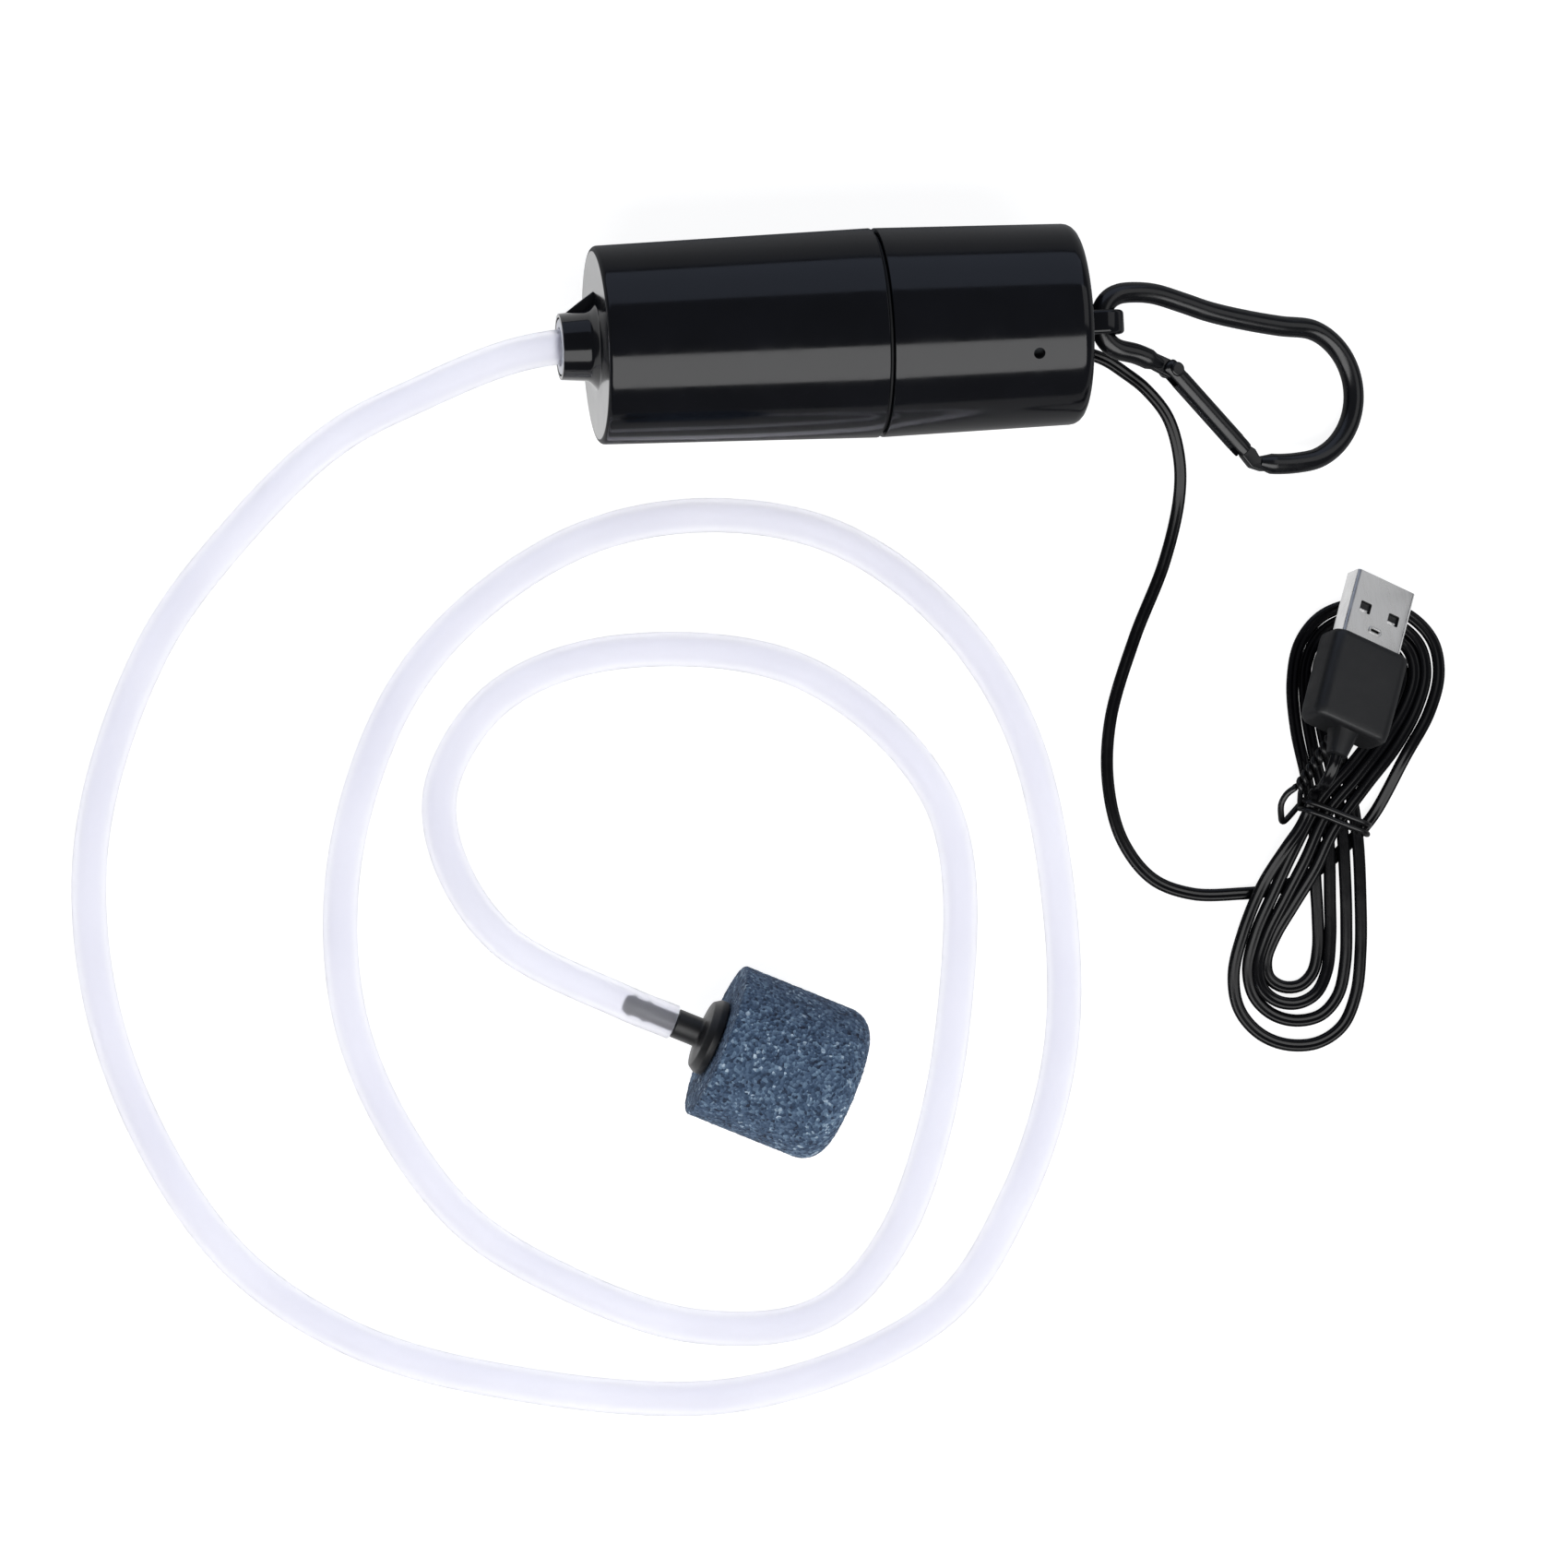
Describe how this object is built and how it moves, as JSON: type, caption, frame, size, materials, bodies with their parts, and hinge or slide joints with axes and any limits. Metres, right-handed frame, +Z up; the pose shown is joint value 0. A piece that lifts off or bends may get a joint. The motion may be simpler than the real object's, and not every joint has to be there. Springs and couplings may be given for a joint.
{
  "type": "aquarium air pump",
  "caption": "Small cylindrical USB air pump for an aquarium, with a spring clip, a clear air hose ending in a round air stone, and a bundled power cord with a USB plug.",
  "frame": {"origin": "on the surface the pump lies on, under the middle of the pump and its clip", "axes": "+X along the pump from the hose end to the cord end; +Z up; the hose and the cord lie on the -Y side"},
  "size_m": [0.2447, 0.2028, 0.036],
  "materials": {
    "gloss_black": "gloss black moulded ABS with fine scuffs",
    "clip_black": "gloss black paint on a zinc spring clip",
    "matte_black": "matte black moulded plastic",
    "cord_black": "glossy black PVC cord jacket",
    "tie_black": "black plastic-coated twist tie wire",
    "hose_clear": "translucent milky PVC or silicone air hose, faint lavender edges",
    "ring_grey": "light grey plastic ring face",
    "stone_blue": "slate-blue bonded mineral grit, rough and matte",
    "nickel": "nickel-plated stamped sheet",
    "steel": "bright steel",
    "brass": "machined brass",
    "copper": "copper, enamelled on the windings",
    "head_white": "natural white acetal",
    "rubber_black": "black EPDM rubber",
    "silicone": "natural silicone",
    "foam": "grey open-cell foam",
    "magnet": "dark grey ferrite",
    "wire_red": "red PVC wire insulation"
  },
  "bodies": {
    "pump": {"front_shell": "gloss_black", "rear_shell": "gloss_black", "hanging_eye": "gloss_black", "air_stone": "stone_blue", "stone_nipple": "matte_black", "air_hose": "hose_clear", "usb_cord": "cord_black", "usb_cord_hank": "cord_black", "twist_tie": "tie_black", "usb_cord_tail": "cord_black", "plug_shell": "nickel", "plug_tongue": "matte_black", "plug_contact_1": "brass", "plug_contact_2": "brass", "plug_contact_3": "brass", "plug_contact_4": "brass", "plug_grip": "matte_black", "seam_gasket": "rubber_black", "outlet_ring": "ring_grey", "outlet_fitting": "head_white", "link_tube": "silicone", "head_cover": "head_white", "outlet_valve": "rubber_black", "valve_plate": "head_white", "inlet_valve_1": "rubber_black", "inlet_valve_2": "rubber_black", "inlet_valve_3": "rubber_black", "diaphragm": "rubber_black", "diaphragm_holder": "head_white", "head_screw_1": "steel", "head_screw_2": "steel", "head_screw_3": "steel", "crank_housing": "matte_black", "motor_can": "steel", "magnet_upper": "magnet", "magnet_lower": "magnet", "front_bearing": "brass", "brush_1": "copper", "brush_2": "copper", "motor_cap": "matte_black", "rear_bearing": "brass", "motor_terminal_1": "brass", "motor_terminal_2": "brass", "foam_sleeve": "foam", "dust_filter": "foam", "cord_grommet": "rubber_black", "wire_plus": "wire_red", "wire_minus": "matte_black"},
    "rotor": {"motor_shaft": "steel", "armature": "steel", "winding_1": "copper", "winding_2": "copper", "winding_3": "copper", "commutator": "copper", "crank": "brass"},
    "swash": {"swash_plate": "head_white"},
    "clip": {"clip_body": "clip_black", "clip_rivet": "clip_black"},
    "gate": {"clip_gate": "clip_black"}
  },
  "joints": [
    {"name": "rotor_spin", "type": "hinge", "parent": "pump", "child": "rotor", "pos_m": [-0.0379, 0.0045, 0.018], "axis": [1, 0, 0], "continuous": true},
    {"name": "swash_nutation", "type": "hinge", "parent": "rotor", "child": "swash", "pos_m": [-0.0379, 0.0045, 0.018], "axis": [0.9903, 0, -0.1392], "continuous": true},
    {"name": "clip_swing", "type": "hinge", "parent": "pump", "child": "clip", "pos_m": [0.0225, 0.0045, 0.018], "axis": [0, -1, 0], "range_deg": [0, 110]},
    {"name": "gate_open", "type": "hinge", "parent": "clip", "child": "gate", "pos_m": [0.03547, -0.004, 0.0136], "axis": [0.3211, 0, 0.9471], "range_deg": [0, 25], "stiffness_Nm_per_rad": 0.01, "springref_deg": -17.19}
  ],
  "couplings": [
    {"joint": "swash_nutation", "follows": "rotor_spin", "ratio": -1}
  ]
}
